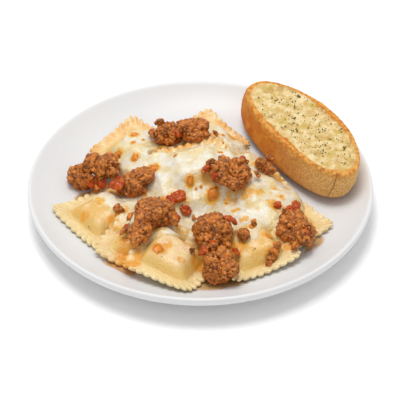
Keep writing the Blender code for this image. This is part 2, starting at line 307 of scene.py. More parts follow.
add_piece("juice", points, quads, tris, juice.material, values)


# ---------------------------------------------------------------- ravioli
# Squares of two sheets of egg dough sealed round a filling, with a fluted edge cut by a wheel; boiled, then
# baked in a heap. Each lies on what is below it and bends like a heavy sheet; its edge curls up a little.

RAVIOLI_SIDE = 0.060
DOUGH_EDGE = 0.0030
BORDER = 0.0108
FILLING_SLOPE = 0.0095
FILLING_RISE = 0.0080
FLUTES = 9
FLUTE_DEPTH = 0.0028
RAVIOLI_SAG = 0.050
SQUARENESS = 8
# name, centre x and y, turn in degrees, how browned, how far the back edge is lifted; in the order laid
RAVIOLI = (
    ("ravioli_left", -0.0755, -0.0285, -48, 0.10, 0),
    ("ravioli_under_left", -0.028, 0.012, 10, 0.1, 0),
    ("ravioli_under_right", 0.028, 0.019, 30, 0.1, 0),
    ("ravioli_back", 0.003, 0.067, 39, 0.8, 0.002),
    ("ravioli_back_left", -0.053, 0.054, 51, 0.7, 0.002),
    ("ravioli_right", 0.063, -0.036, 36, 0.25, 0),
    ("ravioli_lower_left", -0.042, -0.061, -27, 0.3, 0),
    ("ravioli_front", -0.020, -0.081, -28, 0.15, 0),
    ("ravioli_front_right", 0.037, -0.068, 27, 0.12, 0),
    ("ravioli_upper_right", 0.040, -0.002, 28, 0.7, 0.001),
    ("ravioli_top", -0.004, 0.013, 13, 0.8, 0.0065),
)
# where orange oil from the sauce has soaked in: x, y and radius in millimetres
STAINS = (
    (-52, -66, 9), (-57, -55, 7), (-58, -87, 10), (-50, -92, 9), (-60, -35, 7), (-48, -9, 10), (-27, -20, 8),
    (-17, -18, 11), (-18, -52, 14), (-33, -40, 10), (9, -16, 8), (24, -20, 9), (30, 4, 10), (5, -2, 9),
    (-26, 57, 12), (-8, 55, 14), (12, 60, 8), (46, 10, 8), (58, -33, 9), (75, -30, 9), (72, -45, 10),
    (66, -68, 9), (30, -59, 8), (26, -66, 9), (4, -66, 12), (14, -83, 10), (3, -88, 8), (-30, -83, 8),
    (-14, -90, 4), (-86, 8, 12), (-68, -3, 9), (52, -80, 6), (57, -73, 5), (27, 66, 7), (60, 8, 7),
    (-31, -60, 9), (-36, -34, 8), (-31, -84, 5), (-25, -78, 6), (48, -62, 6), (28, -74, 8), (-64, -48, 6),
    (57, -12, 4), (62, -22, 5), (46, -20, 5), (68, -6, 4), (27, -33, 5), (33, -44, 5), (-36, 36, 5), (-25, 39, 6),
    (30, 30, 5), (52, -30, 4), (-53, -63, 11), (-57, -76, 9), (-46, -84, 8), (-50, -72, 9), (0, -86, 9),
    (-8, -70, 7), (18, -78, 8), (-88, -36, 5), (-78, -22, 6), (36, -20, 8), (-10, 44, 8), (-30, 44, 7), (0, -52, 7), (-22, -40, 7), (-66, -40, 6),
)
# where the top of the filling has toasted golden: x, y and radius in millimetres
TOASTED = (
    (42, -76, 17), (30, -76, 12), (-88, -29, 15), (-76, -36, 13), (-48, -70, 12), (-60, 50, 12), (0, 66, 12),
)
CELL = 0.0010
AXIS = np.arange(-0.141, 0.1415, CELL)
pile = plate_top(np.minimum(np.hypot(AXIS[:, None], AXIS[None, :]), 0.133))


def height_of(field, x, y):
    """Height of the map at any place, straight-line between its points."""
    u = np.clip((x - AXIS[0]) / CELL, 0, len(AXIS) - 1.001)
    v = np.clip((y - AXIS[0]) / CELL, 0, len(AXIS) - 1.001)
    i, j = u.astype(int), v.astype(int)
    a, b = u - i, v - j
    near = field[i, j] * (1 - a) + field[i + 1, j] * a
    far = field[i, j + 1] * (1 - a) + field[i + 1, j + 1] * a
    return near * (1 - b) + far * b


def smoothed(field):
    for axis in (0, 1):
        field = (np.roll(field, 1, axis) + 2 * field + np.roll(field, -1, axis)) / 4
    return field


def swept(field, radius):
    """The upper side of the map with an upside-down bowl of this radius set on each of its points."""
    for axis in (0, 1):
        found = field
        for cells in range(1, min(64, int(math.sqrt(2 * radius * 0.045) / CELL) + 2)):
            drop = (cells * CELL) ** 2 / (2 * radius)
            found = np.maximum.reduce([found, np.roll(field, cells, axis) - drop, np.roll(field, -cells, axis) - drop])
        field = found
    return field


def sheet_over(sag, ease):
    """The lowest surface over the pile that hangs between its high spots with this radius, its bends eased."""
    held = pile
    for axis in (0, 1):
        held = np.maximum.reduce([held, np.roll(held, 1, axis), np.roll(held, -1, axis)])
    sheet = -swept(-swept(held, sag), sag)
    for _ in range(ease):
        sheet = np.maximum(smoothed(sheet), held)
    return sheet + 0.0002


def raise_pile(points):
    """Raises the map to the points of a piece that has been laid."""
    i, j = np.round((points[:, :2] - AXIS[0]) / CELL).astype(int).T
    np.maximum.at(pile, (i, j), points[:, 2])


def near(x, y, spots, soft=1.0):
    """1 at the middle of the nearest of some spots, falling to 0 at its edge; spots are x, y, radius in mm."""
    found = np.zeros(np.shape(x))
    for sx, sy, radius in spots:
        distance = np.hypot(x - sx / 1000, y - sy / 1000) / (radius / 1000)
        found = np.maximum(found, np.clip((1 - distance) / soft, 0, 1))
    return found


def ravioli_rings(x, y, turn, lift, seed):
    """Rings from the middle of the upper side over the fluted rim to the middle of the underside. A place (u, v)
    lies on a rounded square of half side (|u|^n + |v|^n)^(1/n); its distance in from the edge sets the height."""
    half = RAVIOLI_SIDE / 2
    each = 100
    t = (np.arange(4 * each) % each) / each * 2 - 1
    side = np.arange(4 * each) // each * math.pi / 2
    lobe = np.abs(np.sin(math.pi * FLUTES * (t + 1) / 2)) ** 0.6
    reach = (half - FLUTE_DEPTH * (1 - lobe)) / (1 + np.abs(t) ** SQUARENESS) ** (1 / SQUARENESS)
    from_rim = np.array([0, 0.1, 0.3, 0.6, 1.0, 1.5, 2.1]) / 1000
    top_share = np.concatenate([np.linspace(0, 0.91, 44), 1 - from_rim[::-1] / half])
    bottom_share = np.concatenate([1 - from_rim[1:6] / half, np.linspace(0.9, 0, 10)])
    share = np.concatenate([top_share, bottom_share])[:, None]
    upper = (np.arange(len(share)) < len(top_share))[:, None]
    u = share * reach * (np.cos(side) - t * np.sin(side))
    v = share * reach * (np.sin(side) + t * np.cos(side))
    squared = (np.abs(u) ** SQUARENESS + np.abs(v) ** SQUARENESS) ** (1 / SQUARENESS)
    inset = half - squared
    round_edge = np.sqrt(1 - (1 - np.clip((1 - share) * half / 0.0014, 0, 1)) ** 2)
    slope = np.clip((inset - BORDER) / FILLING_SLOPE, 0, 1)
    crown = 0.0020 * np.clip((inset - BORDER) / (half - BORDER), 0, 1)
    rise = FILLING_RISE * np.sin(math.pi / 2 * slope) ** 1.05 + crown
    rise = rise * (1 + 0.05 * plan_noise(u, v, 0.014, seed)) + 0.0003 * slope * plan_noise(u, v, 0.006, seed + 1)
    crimp = 0.0024 * (1 + 0.5 * plan_noise(u, v, 0.008, seed + 5)) * (lobe - 0.8) * np.clip(1 - inset / 0.0070, 0, 1) * np.clip((1 - share) * 40, 0, 1)
    pressed = -0.0004 * np.exp(-((inset - BORDER + 0.0012) / 0.0012) ** 2)
    texture = 0.00012 * plan_noise(u, v, 0.0022, seed + 2) + 0.0002 * plan_noise(u, v, 0.005, seed + 3)
    top = DOUGH_EDGE / 2 * (1 + round_edge) + (rise + crimp + pressed + texture) * np.clip((1 - share) * 25, 0, 1)
    height = np.where(upper, top, DOUGH_EDGE / 2 * (1 - round_edge))
    border = np.clip(1 - inset / BORDER, 0, 1)
    curl = border ** 1.5 * (0.0004 + 0.0009 * plan_noise(u, v, 0.017, seed + 4))
    px, py = turned(u, v, turn)
    curl = curl + lift * np.clip((py - 0.008) / 0.022, 0, 1.4) ** 1.5
    px, py = px + x, py + y
    # The band of the pillow's sloping sides, for painted shade: the dough material colours it darker and more golden
    # than the top.
    pillow_side_shade = np.clip(1.5 - np.abs(inset - 0.0145) / 0.0045, 0, 1) * upper
    rim = np.clip(1.4 - inset / 0.0070, 0, 1) * (0.5 + 0.5 * lobe)
    crest = np.clip((inset - BORDER - 0.0035) / 0.0060, 0, 1) * upper
    return px, py, height + curl, {"side": pillow_side_shade, "rim": rim, "crest": crest}


dough = Look("egg dough", 0.24, Coat_Weight=0.22, Coat_Roughness=0.14, Subsurface_Weight=0.15, Subsurface_Scale=0.003)
dough.shader.inputs["Subsurface Radius"].default_value = (1.0, 0.75, 0.35)
tint = dough.mix(dough.between(dough.noise(0.006, 4), 0.35, 0.7), (0.82, 0.60, 0.26), (0.88, 0.70, 0.38))
# Painted shade: the pillow's sloping sides darker and more golden than its top.
tint = dough.mix(dough.math("MULTIPLY", dough.attribute("side"), 0.85), tint, (0.76, 0.49, 0.12))
tint = dough.mix(dough.math("MULTIPLY", dough.attribute("rim"), 0.8), tint, (0.88, 0.74, 0.42))
toasted = dough.math("MULTIPLY", dough.between(dough.noise(0.009, 4), 0.38, 0.50), dough.attribute("crest"))
tint = dough.mix(toasted, tint, (0.88, 0.64, 0.35))
dots = dough.math("MULTIPLY", dough.between(dough.noise(0.0013, 2), 0.60, 0.68), toasted)
tint = dough.mix(dough.math("MULTIPLY", dots, 0.8), tint, (0.52, 0.24, 0.05))
warm = dough.math("MULTIPLY", dough.between(dough.noise(0.008, 4), 0.25, 0.60), dough.attribute("toasted"))
tint = dough.mix(dough.between(warm, 0.0, 0.8, 0.9), tint, (0.75, 0.44, 0.095))
freckle = dough.between(dough.noise(0.0012, 3), 0.60, 0.75, 0.5)
tint = dough.mix(dough.math("MULTIPLY", freckle, dough.math("ADD", dough.attribute("gold"), 0.4)), tint, (0.62, 0.27, 0.04))
patch = dough.math("MULTIPLY", dough.between(dough.noise(0.007, 4), 0.34, 0.56), dough.attribute("gold"))
tint = dough.mix(patch, tint, (0.80, 0.37, 0.055))
oil = dough.math("MULTIPLY", dough.between(dough.noise(0.006, 4), 0.25, 0.62), dough.attribute("stain"))
tint = dough.mix(dough.between(oil, 0.0, 0.70, 0.9), tint, (0.79, 0.33, 0.012))
dough.link(tint, dough.shader.inputs["Base Color"])
dough.bump(dough.noise(0.0011, 3), 0.0008)
dough.bump(dough.noise(0.003, 3), 0.0006, 0.7)

for number, (name, x, y, turn, browned, lift) in enumerate(RAVIOLI):
    sheet = sheet_over(RAVIOLI_SAG, 25)
    px, py, height, marks = ravioli_rings(x, y, turn, lift, 10 * number)
    points = np.stack([px, py, height_of(sheet, px, py) + height], axis=-1)
    patchy = 0.5 + 0.5 * plan_noise(px, py, 0.012, 500 + number)
    values = {
        "side": ring_values(marks["side"]), "crest": ring_values(marks["crest"]), "rim": ring_values(marks["rim"]),
        "gold": ring_values(browned * np.clip(marks["rim"] * 1.2 + 0.5 * patchy, 0, 1)),
        "stain": ring_values(near(px, py, STAINS, 0.6)),
        "toasted": ring_values(near(px, py, TOASTED, 0.7) * np.clip(1 - 0.8 * marks["rim"], 0, 1)),
    }
    points, quads, tris = closed_surface(points)
    piece = add_piece(name + "_dough", points, quads, tris, dough.material, values)
    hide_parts(name)
    raise_pile(points)


# ---------------------------------------------------------------- cheese
# One sheet of grated white cheese that has melted over the heap: thick in the middle, thin and see-through
# towards its edge, sunk into the dips, with small blisters that the oven has browned.

CHEESE_THICK = 0.0013
CHEESE_SAG = 0.0100
CHEESE_MIDDLE = (-0.008, 0.008)
CHEESE_OUTLINE_MM = (
    (67, 8), (62, 18), (55, 29), (47, 43), (39, 55), (33, 68), (26, 80), (18, 87), (8, 83), (-1, 72),
    (-14, 64), (-30, 68), (-44, 80), (-55, 73), (-66, 63), (-76, 48), (-70, 33), (-69, 20), (-72, 9),
    (-80, -1), (-86, -12), (-84, -24), (-76, -33), (-68, -40), (-66, -50), (-64, -58), (-57, -64),
    (-48, -68), (-41, -72), (-33, -75), (-25, -73), (-16, -69), (-8, -65), (0, -65), (10, -70), (23, -74),
    (35, -72), (46, -66), (58, -55), (69, -43), (78, -29), (78, -7),
)
# where the dough under it shows through: x, y and radius in millimetres
BARE = (
    (-37, 35, 6), (-31, 37, 7), (-24, 38, 9), (-16, 41, 9), (-8, 43, 10), (0, 44, 10), (8, 46, 10), (15, 46, 10), (18, 40, 8),
    (66, 27, 5), (72, 17, 5), (77, 8, 6), (78, -2, 5), (-63, -58, 7), (-57, -72, 5), (-6, 60, 10),
)
# browned blisters: x, y and radius in millimetres
BLISTERS = (
    (-36.7, 13.1, 4.4), (-40.2, 16.5, 2.0), (-8.1, -5.5, 3.4), (9.7, -14.7, 5.2), (-67.7, 40.9, 4.0),
    (-52.5, 31.2, 3.4), (-54.7, 61.1, 3.8), (-54.9, 48.8, 2.2), (-3.4, -9.8, 1.1), (0.5, -8.8, 1.2),
    (39.4, -49.4, 1.9), (38.4, -57.2, 2.3), (18.6, 61.3, 1.5), (-20, 20, 1.6), (-47, 52, 1.3), (-66, 31, 1.4),
    (16, 26, 2.2), (20, -23, 1.2), (-63, -38, 2.6), (-14, -66, 2.0), (62, -22, 1.6), (-31.1, -84, 5.0),
    (-56, -66, 2.2), (51.6, -64.5, 3.4),
)

sheet = sheet_over(CHEESE_SAG, 3)
tight = sheet_over(0.0012, 1)
middle = np.array(CHEESE_MIDDLE)
outline = smooth_curve(np.array(CHEESE_OUTLINE_MM) / 1000, 640, closed=True)
outline = middle + (outline - middle) * (1.03 + 0.05 * plan_noise(*outline.T, 0.010, 71))[:, None]
share = np.concatenate([np.linspace(0, 0.94, 92), [0.955, 0.97, 0.98, 0.988, 0.994, 0.998, 1.0]])
share = np.concatenate([share, [0.995, 0.97], np.linspace(0.93, 0, 20)])[:, None]
upper = (np.arange(len(share)) < 99)[:, None]
px = middle[0] + (outline[:, 0] - middle[0]) * share
py = middle[1] + (outline[:, 1] - middle[1]) * share
from_edge = (1 - share) * np.hypot(*(outline - middle).T)
round_edge = np.sqrt(1 - (1 - np.clip(from_edge / 0.0016, 0, 1)) ** 2)
uneven = 0.75 + 0.45 * plan_noise(px, py, 0.010, 72) + 0.30 * plan_noise(px, py, 0.0045, 73)
thick = CHEESE_THICK * np.clip(uneven, 0.12, 2) * (0.15 + 0.85 * np.clip(from_edge / 0.014, 0, 1)) * round_edge
blister = near(px, py, BLISTERS, 0.6)
halo = near(px, py, [(x, y, 1.6 * radius) for x, y, radius in BLISTERS], 0.7)
sunk = 1.3 - from_edge / (0.0062 + 0.0025 * plan_noise(px, py, 0.006, 76))
bare = np.clip(np.maximum(near(px, py, BARE, 0.5) * (1 + 0.5 * plan_noise(px, py, 0.005, 74)), sunk), 0, 1)
relief = 0.0004 * blister + 0.00022 * plan_noise(px, py, 0.0026, 75)
top = thick + np.where(from_edge > 0.001, relief, 0)
hung = np.clip(from_edge / 0.014, 0, 1) ** 1.5
pz = height_of(tight, px, py) * (1 - hung) + height_of(sheet, px, py) * hung
pz = pz * (1 - bare) + (height_of(pile, px, py) - 0.0016) * bare + np.where(upper, top, -0.0001)
thin = np.clip(1.15 - thick / 0.0008, 0, 1)
values = {"thin": ring_values(thin), "blister": ring_values(halo), "bare": ring_values(np.clip(bare, 0, 1)),
          "stain": ring_values(near(px, py, STAINS, 0.6)), "edge": ring_values(np.clip(2.2 * bare, 0, 1))}
melted = Look("melted cheese", 0.28, Coat_Weight=0.08, Coat_Roughness=0.16, Subsurface_Weight=0.25, Subsurface_Scale=0.004)
melted.shader.inputs["Subsurface Radius"].default_value = (1.0, 0.75, 0.45)
tint = melted.mix(melted.between(melted.noise(0.009, 4), 0.35, 0.7), (0.78, 0.68, 0.49), (0.80, 0.77, 0.68))
see_through = melted.math("MAXIMUM", melted.attribute("thin"), melted.attribute("edge"))
tint = melted.mix(melted.math("MULTIPLY", see_through, 0.9), tint, (0.82, 0.61, 0.29))
sheer = melted.between(melted.noise(0.012, 4), 0.46, 0.60, 0.7)
tint = melted.mix(sheer, tint, (0.78, 0.61, 0.28))
fine = melted.between(melted.noise(0.0016, 3), 0.58, 0.68, 0.8)
tint = melted.mix(melted.math("MULTIPLY", fine, melted.between(melted.noise(0.009, 2), 0.40, 0.56)), tint, (0.80, 0.48, 0.15))
band = melted.math("ABSOLUTE", melted.math("SUBTRACT", melted.noise(0.006, 3), 0.5), 0.0)
vein = melted.math("MULTIPLY", melted.between(band, 0.030, 0.0), melted.between(melted.noise(0.013, 2), 0.45, 0.54))
tint = melted.mix(melted.math("MULTIPLY", vein, 0.8), tint, (0.78, 0.40, 0.06))
oil = melted.math("MULTIPLY", melted.between(melted.noise(0.0045, 4), 0.32, 0.62), melted.attribute("stain"))
tint = melted.mix(melted.between(oil, 0.05, 0.7, 0.9), tint, (0.82, 0.38, 0.025))
halo = melted.math("MULTIPLY", melted.between(melted.noise(0.003, 3), 0.1, 0.6), melted.attribute("blister"))
tint = melted.mix(melted.between(halo, 0.05, 0.5), tint, (0.82, 0.40, 0.03))
tint = melted.mix(melted.between(melted.attribute("bare"), 0.25, 0.7, 0.6), tint, (0.74, 0.38, 0.08))
melted.link(tint, melted.shader.inputs["Base Color"])
melted.bump(melted.noise(0.0014, 3), 0.0004)
melted.bump(melted.noise(0.004, 3), 0.0012, 0.6)
rings = np.stack([px, py, pz], axis=-1)
points, quads, tris = closed_surface(rings)
cheese = add_piece("cheese_sheet", points, quads, tris, melted.material, values)
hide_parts("cheese")
raise_pile(rings[:99].reshape(-1, 3))


# ---------------------------------------------------------------- browned spots
# Blisters of the cheese that the oven has browned: a thin crisp skin over each, darkest round its edge.

bodies = []
cover = np.maximum(smoothed(pile), pile)
for number, (x, y, radius) in enumerate(BLISTERS):
    angle = np.linspace(0, 2 * math.pi, 44, endpoint=False)
    share = np.array([0, 0.15, 0.3, 0.45, 0.6, 0.72, 0.84, 0.93, 1, 0.93, 0.6, 0])[:, None]
    edge = 1 + 0.22 * plan_noise(np.cos(angle), np.sin(angle), 0.6, 80 + number)
    px = x / 1000 + 0.85 * radius / 1000 * share * edge * np.cos(angle)
    py = y / 1000 + 0.85 * radius / 1000 * share * edge * np.sin(angle)
    crown = np.where(np.arange(12) < 9, 0.00045, -0.00020)[:, None] * np.sqrt(1 - share ** 2 * 0.999)
    rings = np.stack([px, py, height_of(cover, px, py) - 0.0001 + crown], axis=-1)
    points, quads, tris = closed_surface(rings)
    bodies.append((points, quads, tris, {"out": ring_values(np.broadcast_to(share, px.shape))}))
points, quads, tris, values = joined(bodies)
crisp = Look("browned cheese", 0.28, Specular_IOR_Level=0.35, Subsurface_Weight=0.2, Subsurface_Scale=0.002)
tint = crisp.mix(crisp.between(crisp.noise(0.002, 3), 0.35, 0.65), (0.66, 0.21, 0.012), (0.46, 0.11, 0.006))
tint = crisp.mix(crisp.between(crisp.attribute("out"), 0.15, 0.85), (0.80, 0.27, 0.020), tint)
tint = crisp.mix(crisp.between(crisp.attribute("out"), 0.75, 1.0, 0.8), tint, (0.78, 0.34, 0.03))
crisp.link(tint, crisp.shader.inputs["Base Color"])
add_piece("browned_spots", points, quads, tris, crisp.material, values)


# ---------------------------------------------------------------- garlic bread
# A slice cut slantwise from a long loaf, spread with garlic butter and toasted: crisp brown crust round the side,
# a raised golden rim, and a pale crumb with pores where the butter has soaked in.

BREAD_CENTRE = (0.0841, 0.0491)
BREAD_TURN = 120
BREAD_LENGTH = 0.1420
BREAD_WIDTH = 0.0544
BREAD_THICKNESS = 0.0255
BREAD_BEND = 0.0040
BREAD_SLANT = (-0.005, 0.0)
BREAD_TIP = 0.1032
BREAD_TIP_TOWARDS = 27
# the crust's profile from the rim down: share of the oval, height as a share of the thickness
CRUST = ((0.955, 1.0), (0.985, 0.985), (1.003, 0.94), (1.012, 0.86), (1.020, 0.70), (1.026, 0.45), (1.015, 0.25),
         (0.995, 0.12), (0.965, 0.04), (0.93, 0.005), (0.90, 0.0))
PORES = 260
COUNT = 520


def bread_plan(share, angle):
    """(x, y) over the plate of a place on the slice: an oval that bows to one side."""
    along, across = np.cos(angle) * share, np.sin(angle) * share
    u, v = along * BREAD_LENGTH / 2, across * BREAD_WIDTH / 2 + BREAD_BEND * along ** 2
    x, y = turned(u, v, BREAD_TURN)
    return x + BREAD_CENTRE[0], y + BREAD_CENTRE[1], u, v


tip_x = BREAD_TIP * math.cos(math.radians(BREAD_TIP_TOWARDS))
tip_y = BREAD_TIP * math.sin(math.radians(BREAD_TIP_TOWARDS))
angle = np.linspace(0, 2 * math.pi, COUNT, endpoint=False)
crust = smooth_curve(CRUST, 46)
share = np.concatenate([np.linspace(0, 0.945, 56), crust[:, 0], np.linspace(0.86, 0, 10)])[:, None]
px, py, u, v = bread_plan(share, angle)
level = np.concatenate([np.ones(56), crust[:, 1], np.zeros(10)])[:, None] + 0 * px
upper = np.arange(len(share)) < 60
random = np.random.default_rng(5)
at = random.uniform(-1, 1, (PORES, 2))
at = at[np.hypot(*at.T) < 0.97]
size = 0.0004 + 0.0026 * random.uniform(0, 1, len(at)) ** 6
pit = np.zeros(px.shape)
for (a, b), radius in zip(at, size):
    squash = random.uniform(1, 2.2)
    lean = random.uniform(0, 180)
    du, dv = turned(u - a * BREAD_LENGTH / 2, v - b * BREAD_WIDTH / 2 - BREAD_BEND * a ** 2, lean)
    inside = 1 - (du / squash / radius) ** 2 - (dv / radius) ** 2
    pit = np.maximum(pit, np.sqrt(np.clip(inside, 0, 1)) * radius * 0.6)
from_rim = (1 - share) * np.hypot(u[len(CRUST) + 50], v[len(CRUST) + 50])
edge_at = 0.0044 + 0.0009 * plan_noise(u, v, 0.008, 91) + 0.0014 * plan_noise(u, v, 0.0022, 92)
crumb = np.clip((from_rim - edge_at) / 0.0010, 0, 1) * upper[:, None]
grain = 0.00022 * plan_noise(u, v, 0.0022, 93) + 0.0008 * plan_noise(u, v, 0.0075, 94)
down = np.where(upper[:, None], crumb * (0.0009 + pit) - grain * crumb, 0)
rough = lattice_noise(np.stack([px, py, level * BREAD_THICKNESS], axis=-1), 0.0016, 95)
swell = lattice_noise(np.stack([px, py, level * BREAD_THICKNESS], axis=-1), 0.009, 96)
on_side = np.clip((share - 0.93) / 0.04, 0, 1) * np.clip(level * 8, 0, 1)
crack_at = (angle - math.radians(157)) * 0.045
crack = np.exp(-((crack_at + 0.0012 * plan_noise(level * 0.02, 0 * px, 0.006, 97)) / 0.0006) ** 2) * on_side
out = 0.00040 * rough * on_side + 0.0006 * swell * on_side - 0.0014 * crack
span = np.hypot(u, v) + 1e-9
px = px + BREAD_SLANT[0] * (1 - level) + out * (px - BREAD_CENTRE[0]) / span
py = py + BREAD_SLANT[1] * (1 - level) + out * (py - BREAD_CENTRE[1]) / span
pz = px * tip_x + py * tip_y + BREAD_THICKNESS * level - down
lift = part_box("garlic_bread")[1].z - 0.0002 - pz.max()
rings = np.stack([px, py, pz + lift], axis=-1)
bread_top = (px[:56], py[:56], pz[:56] + lift)
values = {"crumb": ring_values(crumb), "pit": ring_values(np.clip(pit / 0.0012, 0, 1) * crumb), "crack": ring_values(crack),
          "pale": ring_values(np.clip((px - 0.055) / 0.035, 0, 1) * on_side * np.clip((0.095 - py) / 0.04, 0, 1)),
          "rim": ring_values(np.clip((share - 0.86) / 0.05, 0, 1) * np.clip((level - 0.8) / 0.15, 0, 1) + 0 * px)}
toast = Look("toasted bread", 0.62, Specular_IOR_Level=0.2)
side = toast.mix(toast.between(toast.noise(0.010, 4), 0.35, 0.65), (0.55, 0.15, 0.010), (0.66, 0.25, 0.03))
porous = toast.mix(toast.between(toast.noise(0.0011, 3), 0.40, 0.62), (0.60, 0.31, 0.08), (0.86, 0.54, 0.21))
side = toast.mix(toast.attribute("pale"), side, porous)
rim = toast.mix(toast.between(toast.noise(0.0030, 4), 0.42, 0.62), (0.76, 0.38, 0.08), (0.54, 0.17, 0.012))
rim = toast.mix(toast.between(toast.noise(0.0045, 3), 0.60, 0.70, 0.7), rim, (0.34, 0.08, 0.004))
side = toast.mix(toast.math("MULTIPLY", toast.attribute("rim"), 0.85), side, rim)
soft = toast.mix(toast.between(toast.noise(0.0055, 5), 0.36, 0.64), (0.63, 0.42, 0.14), (0.80, 0.62, 0.32))
soft = toast.mix(toast.between(toast.noise(0.0014, 3), 0.55, 0.68, 0.55), soft, (0.52, 0.32, 0.08))
soft = toast.mix(toast.between(toast.noise(0.009, 5), 0.52, 0.64, 0.6), soft, (0.87, 0.72, 0.43))
soft = toast.mix(toast.math("MULTIPLY", toast.between(toast.noise(0.008, 3), 0.56, 0.66), 0.75), soft, (0.56, 0.41, 0.07))
soft = toast.mix(toast.math("MULTIPLY", toast.attribute("pit"), 0.5), soft, (0.48, 0.30, 0.08))
tint = toast.mix(toast.attribute("crumb"), side, soft)
tint = toast.mix(toast.math("MULTIPLY", toast.attribute("crack"), 0.7), tint, (0.36, 0.16, 0.05))
toast.link(tint, toast.shader.inputs["Base Color"])
toast.bump(toast.noise(0.0009, 4), 0.0007)
toast.bump(toast.noise(0.0025, 3), 0.0006, 0.6)
points, quads, tris = closed_surface(rings)
bread = add_piece("garlic_bread_slice", points, quads, tris, toast.material, values)
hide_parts("garlic_bread")


# ---------------------------------------------------------------- herbs
# Flecks of dried parsley strewn over the buttered crumb, and a few on the ravioli: crumpled flakes of leaf.

HERBS = 330
# larger flakes on the bread: place along and across the slice as shares of its half length and half width, size
LARGE_HERBS = ((0.62, 0.05, 0.0025), (0.33, -0.22, 0.0028), (-0.05, 0.35, 0.0024), (0.45, -0.6, 0.0020),
               (0.72, 0.35, 0.0018), (-0.62, -0.35, 0.0021), (-0.5, 0.2, 0.0018), (0.15, 0.1, 0.0018))
# on the ravioli: x and y in millimetres, size
LOOSE_HERBS = ((-85.2, -44.6, 0.0010), (-84, -46.5, 0.0007), (40.1, -77, 0.0010), (39, -78.5, 0.0007),
               (34.2, -78.7, 0.0006), (-70, -30, 0.0006), (-28, -90, 0.0006), (-12, -84, 0.0005))


def flake(x, y, z, size, seed):
    """A crumpled disc of leaf, closed, about a fifth as thick as it is wide."""
    draw = np.random.default_rng(seed)
    angle = np.linspace(0, 2 * math.pi, 9, endpoint=False) + draw.uniform(0, 6)
    reach = size * np.clip(draw.normal(0.75, 0.28, 9), 0.3, 1.3)
    ring = np.stack([reach * np.cos(angle) * draw.uniform(0.25, 0.9), reach * np.sin(angle)], axis=-1)
    tall = size * draw.uniform(-0.12, 0.35, 9)
    flat = np.stack([ring[:, 0], ring[:, 1], tall], axis=-1)
    rings = np.stack([np.zeros((9, 3)) + (0, 0, 0.22 * size), 0.6 * flat + (0, 0, 0.15 * size), flat,
                      0.6 * flat - (0, 0, 0.15 * size), np.zeros((9, 3)) - (0, 0, 0.22 * size)])
    points, quads, tris = closed_surface(rings + (x, y, z))
    return points, quads, tris, {"tone": np.full(len(points), draw.uniform(0, 1))}


bodies = []
draw = np.random.default_rng(8)
spread = [(a, b, draw.uniform(0.0004, 0.0012)) for a, b in draw.uniform(-0.86, 0.86, (HERBS, 2)) if math.hypot(a, b) < 0.84]
cluster = plan_noise(np.array([s[0] for s in spread]), np.array([s[1] for s in spread]), 0.35, 98)
spread = [s for s, c in zip(spread, cluster) if c > -0.35]
for number, (a, b, size) in enumerate(spread + list(LARGE_HERBS)):
    x, y, _, _ = bread_plan(math.hypot(a, b), math.atan2(b, a))
    nearest = np.argmin((bread_top[0] - x) ** 2 + (bread_top[1] - y) ** 2)
    bodies.append(flake(x, y, bread_top[2].ravel()[nearest] + 0.3 * size, size, 200 + number))
for number, (x, y, size) in enumerate(LOOSE_HERBS):
    z = float(height_of(pile, np.array(x / 1000), np.array(y / 1000)))
    bodies.append(flake(x / 1000, y / 1000, z + 0.3 * size, size, 600 + number))
points, quads, tris, values = joined(bodies)
leaf = Look("dried parsley", 0.8, Specular_IOR_Level=0.1)
leaf.link(leaf.mix(leaf.attribute("tone"), (0.045, 0.040, 0.003), (0.22, 0.18, 0.014)), leaf.shader.inputs["Base Color"])
add_piece("herbs", points, quads, tris, leaf.material, values)


# ---------------------------------------------------------------- meat
# Lumps of minced beef fried in tomato sauce: each a clump of short rounded strands of mince, brown, with
# painted shade darkening the hollows between the grains, fine painted glints, and a sheen of fat.

MEAT = (
    ("meat_left", -0.095, 0.012, 10, 0.020, 0.019, 0.016),
    ("meat_left_back", -0.077, 0.022, 20, 0.022, 0.020, 0.014),
    ("meat_upper_left", -0.051, -0.002, 15, 0.028, 0.023, 0.014),
    ("meat_middle_left", -0.035, -0.048, 20, 0.031, 0.030, 0.015),
    ("meat_lower_left", -0.044, -0.070, 70, 0.020, 0.015, 0.008),
    ("meat_middle", 0.010, -0.064, -20, 0.028, 0.027, 0.016),
    ("meat_front", 0.014, -0.097, -25, 0.028, 0.024, 0.016),
    ("meat_top", 0.024, -0.009, 10, 0.030, 0.028, 0.012),
    ("meat_back_left", -0.026, 0.057, 80, 0.022, 0.018, 0.012),
    ("meat_back", -0.005, 0.056, 8, 0.027, 0.025, 0.012),
    ("meat_right", 0.071, -0.057, 110, 0.032, 0.024, 0.013),
    ("meat_upper_right", 0.051, 0.005, -40, 0.016, 0.011, 0.007),
)
MEAT_SAG = 0.008


